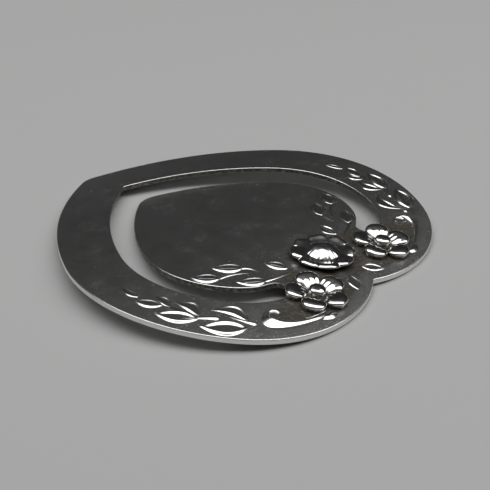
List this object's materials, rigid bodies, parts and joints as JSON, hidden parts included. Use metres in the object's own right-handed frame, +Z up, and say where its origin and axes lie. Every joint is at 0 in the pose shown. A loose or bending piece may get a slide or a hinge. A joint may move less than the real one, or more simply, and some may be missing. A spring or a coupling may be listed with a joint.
{
  "type": "heart page bookmark",
  "caption": "Heart-shaped silver sheet bookmark whose pierced slot frees a springy inner tongue that slips over a page, with blossoms and leaf sprays in relief at the lobes.",
  "frame": {"origin": "on the table under the middle of the heart, at the centre of its box", "axes": "+Y from the heart's tip to its lobes along the line of symmetry, +X to the right seen from above, +Z up out of the decorated face"},
  "size_m": [0.044, 0.0436, 0.003],
  "materials": {
    "silver_sheet": "polished silver sheet with fine wear scratches",
    "silver_blossom": "polished silver relief with brown tarnish in the recesses",
    "silver_leaf": "polished silver relief with brown tarnish in the recesses"
  },
  "bodies": {
    "frame": {"heart_frame": "silver_sheet", "blossom_right": "silver_blossom", "blossom_right_bead": "silver_blossom", "blossom_left": "silver_blossom", "blossom_left_bead": "silver_blossom", "rim_spray_right": "silver_leaf", "rim_spray_left": "silver_leaf", "rim_scroll_right": "silver_leaf", "rim_scroll_left": "silver_leaf", "lobe_leaf_right": "silver_leaf", "lobe_leaf_left": "silver_leaf", "cleft_leaf_right": "silver_leaf", "cleft_leaf_left": "silver_leaf"},
    "tongue": {"page_tongue": "silver_sheet", "centre_blossom": "silver_blossom", "centre_blossom_dome": "silver_blossom", "tongue_spray_right": "silver_leaf", "tongue_spray_left": "silver_leaf"}
  },
  "joints": [
    {"name": "tongue_flex", "type": "hinge", "parent": "frame", "child": "tongue", "pos_m": [0, 0.01402, 0.00134], "axis": [1, 0, 0], "range_deg": [-4, 6], "stiffness_Nm_per_rad": 0.2}
  ]
}
